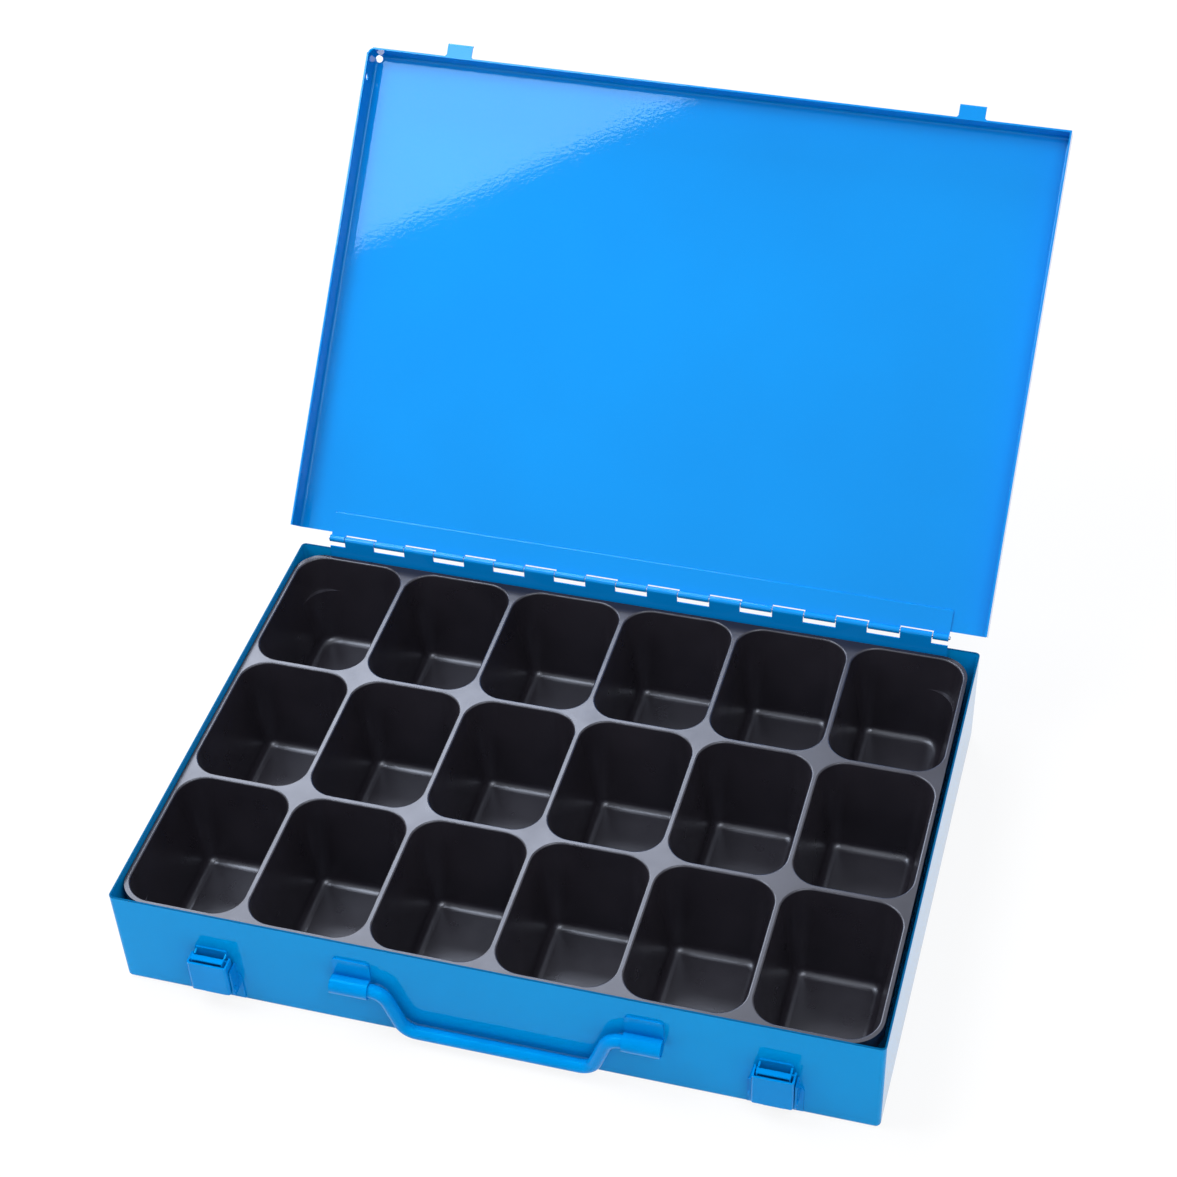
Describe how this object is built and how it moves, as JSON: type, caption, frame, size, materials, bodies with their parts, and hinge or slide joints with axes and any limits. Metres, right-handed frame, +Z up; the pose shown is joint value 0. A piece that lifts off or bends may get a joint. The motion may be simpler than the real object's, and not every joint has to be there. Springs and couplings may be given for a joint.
{
  "type": "compartment organizer box",
  "caption": "Flat sheet-steel assortment case: drafted plastic compartment insert, piano-hinged lid standing open, swing wire handle and spring-hook front latches.",
  "frame": {"origin": "centre of the base's flat underside", "axes": "+X to the right seen from the front, +Y from the handle side to the hinge side, +Z up"},
  "size_m": [0.335, 0.4035, 0.2371],
  "materials": {
    "blue_paint": "glossy blue powder coat on sheet steel",
    "black_plastic": "satin black thermoformed plastic",
    "steel": "bright steel wire"
  },
  "bodies": {
    "base": {"base_shell": "blue_paint", "insert_tray": "black_plastic", "hinge_leaf_base": "blue_paint", "hinge_pin": "steel", "handle_clip_left": "blue_paint", "handle_clip_right": "blue_paint", "latch_bracket_left": "blue_paint", "latch_bracket_right": "blue_paint", "latch_pivot_pin_left": "steel", "latch_pivot_pin_right": "steel"},
    "lid": {"lid_shell": "blue_paint", "hinge_leaf_lid": "blue_paint"},
    "handle": {"handle_wire": "blue_paint"},
    "carrier_left": {"latch_carrier_left": "blue_paint", "latch_guide_pin_left": "steel", "latch_spring_left": "steel"},
    "carrier_right": {"latch_carrier_right": "blue_paint", "latch_guide_pin_right": "steel", "latch_spring_right": "steel"},
    "hook_left": {"latch_hook_left": "blue_paint"},
    "hook_right": {"latch_hook_right": "blue_paint"}
  },
  "joints": [
    {"name": "lid_hinge", "type": "hinge", "parent": "base", "child": "lid", "pos_m": [0, 0.11615, 0.058], "axis": [1, 0, 0], "range_deg": [0, 134]},
    {"name": "handle_swing", "type": "hinge", "parent": "base", "child": "handle", "pos_m": [0.0043, -0.12005, 0.0295], "axis": [-1, 0, 0], "range_deg": [0, 165]},
    {"name": "latch_tilt_left", "type": "hinge", "parent": "base", "child": "carrier_left", "pos_m": [-0.1215, -0.1206, 0.013], "axis": [1, 0, 0], "range_deg": [0, 12]},
    {"name": "latch_tilt_right", "type": "hinge", "parent": "base", "child": "carrier_right", "pos_m": [0.1215, -0.1206, 0.013], "axis": [1, 0, 0], "range_deg": [0, 12]},
    {"name": "hook_slide_left", "type": "slide", "parent": "carrier_left", "child": "hook_left", "axis": [0, 0, 1], "range_m": [0, 0.02005], "stiffness_N_per_m": 300, "springref_m": -0.01, "deforming": ["latch_spring_left"]},
    {"name": "hook_slide_right", "type": "slide", "parent": "carrier_right", "child": "hook_right", "axis": [0, 0, 1], "range_m": [0, 0.02005], "stiffness_N_per_m": 300, "springref_m": -0.01, "deforming": ["latch_spring_right"]}
  ]
}
